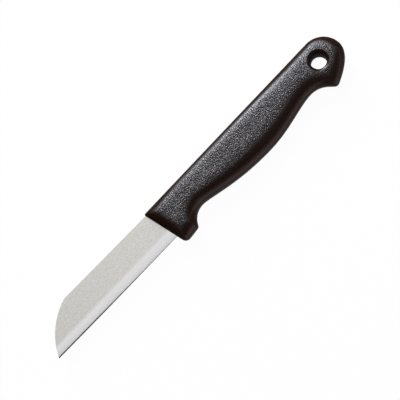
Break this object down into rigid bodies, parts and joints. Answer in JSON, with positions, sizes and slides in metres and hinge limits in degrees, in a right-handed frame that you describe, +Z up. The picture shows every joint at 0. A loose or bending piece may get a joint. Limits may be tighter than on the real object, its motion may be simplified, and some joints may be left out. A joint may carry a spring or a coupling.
{
  "type": "paring knife",
  "caption": "Small kitchen knife: straight-edged steel blade with the spine curving down to the point, moulded into a black plastic handle with finger guard, beaked butt and hanging hole.",
  "frame": {"origin": "middle of the knife's footprint, on the surface that it lies on", "axes": "+X from the handle to the tip, +Y from the spine to the cutting edge, +Z up through the thickness"},
  "size_m": [0.1718, 0.0214, 0.0112],
  "materials": {
    "blade_steel": "satin ground stainless strip with a brighter ground band and a fine sharpened bevel",
    "handle_plastic": "black moulded polypropylene with a fine leathery grain"
  },
  "bodies": {
    "root": {"blade": "blade_steel", "handle": "handle_plastic"}
  },
  "joints": []
}
